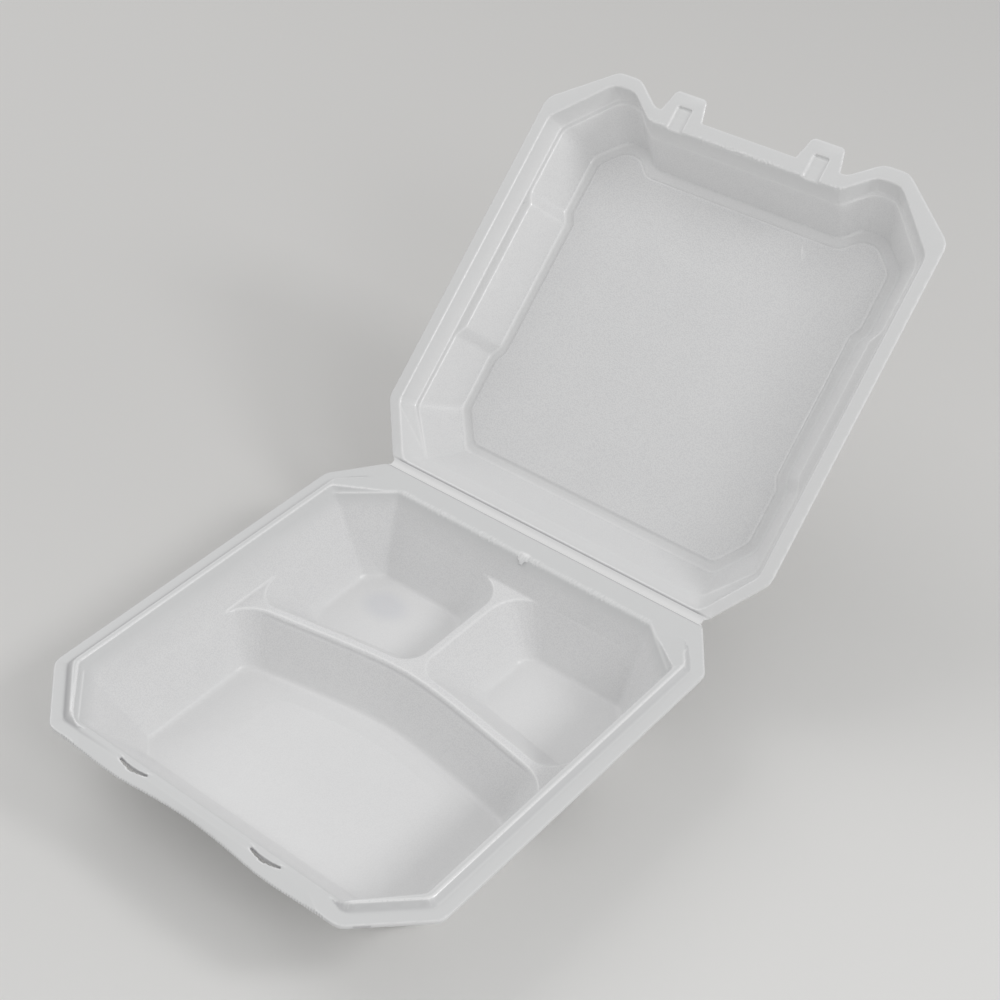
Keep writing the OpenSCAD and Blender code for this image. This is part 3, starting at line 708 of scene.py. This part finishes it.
def moulded(node, local, marks, grain, soft_from, soft_steps, context):
    """Foam shell drawn round a solid: evenly meshed, rounded like moulded sheet, marked, then thinned."""
    shell = context.scene.container_shell
    piece = link(bpy.data.objects.new(node + "_foam", merged_copy(node)))
    remesh = piece.modifiers.new("skin", "REMESH")
    remesh.mode = "VOXEL"
    remesh.voxel_size = shell.voxel
    settle(piece)
    if not piece.data.polygons:
        raise RuntimeError(f"no shell could be drawn round {node}")
    depth = local(values(piece.data))[:, 2]
    group = piece.vertex_groups.new(name="soft")
    group.add(np.nonzero(depth > soft_from)[0].tolist(), 1.0, "REPLACE")
    for name, steps in (("", shell.steps), ("soft", soft_steps)):
        smooth = piece.modifiers.new("smooth", "SMOOTH")
        smooth.factor = 0.5
        smooth.iterations = steps
        smooth.vertex_group = name
    settle(piece)
    piece.vertex_groups.clear()
    mesh = piece.data
    shine = marks(mesh, context)
    # Ridge mark: gloss and painted highlight on the edges
    mark(mesh, RIDGE, shine * convexity(mesh, local(values(mesh))[:, 2]))
    thin = piece.modifiers.new("thin", "DECIMATE")
    thin.ratio = min(1.0, shell.triangles / (2 * len(mesh.polygons)))
    settle(piece)
    mesh = piece.data
    spots = values(mesh)
    depth = local(spots)[:, 2]
    waves = noisy(spots, shell.wobble_l) * shell.wobble * np.clip(depth / WOBBLE_DEPTH, WOBBLE_RIM, 1)
    move(mesh, spots + values(mesh, "normal") * waves[:, None])
    mesh.shade_smooth()
    mark(mesh, GRAIN, np.interp(depth / MM, *grain))
    return piece


def finish_piece(piece):
    material = bpy.data.materials.get(FOAM_SKIN) or foam_material(bpy.context.scene.container_foam)
    piece.data.materials.clear()
    piece.data.materials.append(material)


class CONTAINER_OT_tray(bpy.types.Operator):
    """Makes the tray's moulded foam shell"""

    bl_idname = "container.tray"
    bl_label = "Tray"

    def execute(self, context):
        steps = context.scene.container_shell.soft_steps
        piece = moulded("tray", on_tray, tray_marks, TRAY_GRAIN, TRAY_SOFT, steps, context)
        finish_piece(piece)
        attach(piece, "tray")
        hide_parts("tray")
        return {"FINISHED"}


class CONTAINER_OT_lid(bpy.types.Operator):
    """Makes the lid's moulded foam shell"""

    bl_idname = "container.lid"
    bl_label = "Lid"

    def execute(self, context):
        steps = context.scene.container_shell.panel_steps
        piece = moulded("lid", on_lid, lid_marks, LID_GRAIN, LID_SOFT, steps, context)
        finish_piece(piece)
        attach(piece, "lid")
        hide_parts("lid")
        return {"FINISHED"}


class CONTAINER_OT_hinge(bpy.types.Operator):
    """Makes the strip of sheet that folds along the hinge"""

    bl_idname = "container.hinge"
    bl_label = "Hinge strip"

    def execute(self, context):
        hinge = context.scene.container_hinge
        step = 2 * hinge.half_width / hinge.facets
        shape = bmesh.new()
        spot = Vector((-hinge.half_length, HINGE_POS.y - hinge.half_width, TRAY_RIM + hinge.lift))
        row = [shape.verts.new(spot)]
        for k in range(hinge.facets):
            share = (k + 0.5) / hinge.facets
            angle = LID_TILT * share * share * (3 - 2 * share)
            spot = spot + Vector((0, math.cos(angle), math.sin(angle))) * step
            row.append(shape.verts.new(spot))
        edges = [shape.edges.new(pair) for pair in zip(row, row[1:])]
        grown = bmesh.ops.extrude_edge_only(shape, edges=edges)["geom"]
        far = [v for v in grown if isinstance(v, bmesh.types.BMVert)]
        bmesh.ops.translate(shape, verts=far, vec=(2 * hinge.half_length, 0, 0))
        bmesh.ops.recalc_face_normals(shape, faces=shape.faces)
        if shape.faces[:][0].normal.z < 0:
            bmesh.ops.reverse_faces(shape, faces=shape.faces)
        bmesh.ops.solidify(shape, geom=shape.faces[:], thickness=hinge.thickness)
        mesh = bpy.data.meshes.new("hinge_strip")
        shape.to_mesh(mesh)
        shape.free()
        mesh.shade_smooth()
        mesh.set_sharp_from_angle(angle=SHARP)
        for name, amount in ((GRAIN, FLAT_GRAIN), (RIDGE, 0), (PAINTED_SHADE, 0), (THIN_AND_SHADE, 0)):
            mark(mesh, name, np.full(len(mesh.vertices), amount))
        piece = link(bpy.data.objects.new("hinge_strip", mesh))
        finish_piece(piece)
        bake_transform(piece)
        return {"FINISHED"}


def floor_material(stage):
    """Matt floor, with painted light making it a little lighter towards the camera."""
    paint = Shader("floor")
    place = paint.node("ShaderNodeTexCoord", {}, {}, "Object")
    toward = Vector((-stage.forward[0], -stage.forward[1], 0)).normalized()
    reach = paint.vector("DOT_PRODUCT", place, toward, "Value")
    colour = paint.mix(paint.ramp(reach, *FLOOR_FADE), stage.floor, stage.floor_near)
    return paint.surface(paint.node("ShaderNodeBsdfPrincipled", {},
                                    {"Base Color": colour, "Roughness": stage.floor_rough}))


def lamp_at(name, place, aim, size, power):
    """Square lamp that shines on the container."""
    lamp = bpy.data.lights.new(name, "AREA")
    lamp.shape = "SQUARE"
    lamp.size = size
    lamp.energy = power
    made = link(bpy.data.objects.new(name, lamp))
    made.location = place
    made.rotation_mode = "QUATERNION"
    made.rotation_quaternion = (Vector(aim) - made.location).to_track_quat("-Z", "Y")


class CONTAINER_OT_stage(bpy.types.Operator):
    """Makes the floor, the lamps and the camera"""

    bl_idname = "container.stage"
    bl_label = "Stage"

    def execute(self, context):
        stage = context.scene.container_stage
        shape = bmesh.new()
        bmesh.ops.create_grid(shape, x_segments=1, y_segments=1, size=stage.floor_size)
        mesh = bpy.data.meshes.new("floor")
        shape.to_mesh(mesh)
        shape.free()
        mesh.materials.append(floor_material(stage))
        link(bpy.data.objects.new("floor", mesh))
        world = bpy.data.worlds.new("studio")
        world.use_nodes = True
        sky = world.node_tree.nodes["Background"].inputs
        sky["Color"].default_value = (1, 1, 1, 1)
        sky["Strength"].default_value = stage.world
        context.scene.world = world
        lamp_at("key", stage.key_at, stage.aim, stage.key_size, stage.key)
        lamp_at("side", stage.side_at, stage.aim, stage.side_size, stage.side)
        lamp_at("top", stage.top_at, stage.aim, stage.top_size, stage.top)
        camera = bpy.data.cameras.new("camera")
        camera.lens = stage.lens
        eye = link(bpy.data.objects.new("camera", camera))
        eye.location = stage.camera
        eye.rotation_mode = "QUATERNION"
        turn = Quaternion((0, 0, 1), stage.roll)
        eye.rotation_quaternion = Vector(stage.forward).to_track_quat("-Z", "Y") @ turn
        context.scene.camera = eye
        context.scene.view_settings.view_transform = "Standard"
        return {"FINISHED"}


class CONTAINER_PT_panel(bpy.types.Panel):
    """Lists the container's pieces"""

    bl_idname = "CONTAINER_PT_panel"
    bl_label = "Foam Container"
    bl_space_type = "VIEW_3D"
    bl_region_type = "UI"
    bl_category = "Container"

    def draw(self, context):
        for operator in OPERATORS:
            self.layout.operator(operator.bl_idname)


GROUPS = {
    "container_foam": FoamSettings,
    "container_shell": ShellSettings,
    "container_marks": MarkSettings,
    "container_hinge": HingeSettings,
    "container_stage": StageSettings,
}
OPERATORS = (CONTAINER_OT_tray, CONTAINER_OT_lid, CONTAINER_OT_hinge, CONTAINER_OT_stage)


def register():
    for name, group in GROUPS.items():
        bpy.utils.register_class(group)
        setattr(bpy.types.Scene, name, bpy.props.PointerProperty(type=group))
    for item in (*OPERATORS, CONTAINER_PT_panel):
        bpy.utils.register_class(item)


def unregister():
    for item in (CONTAINER_PT_panel, *reversed(OPERATORS)):
        bpy.utils.unregister_class(item)
    for name, group in GROUPS.items():
        delattr(bpy.types.Scene, name)
        bpy.utils.unregister_class(group)


def main():
    register()
    bpy.ops.container.tray()
    bpy.ops.container.lid()
    bpy.ops.container.hinge()
    bpy.ops.container.stage()


if __name__ == "__main__":
    main()
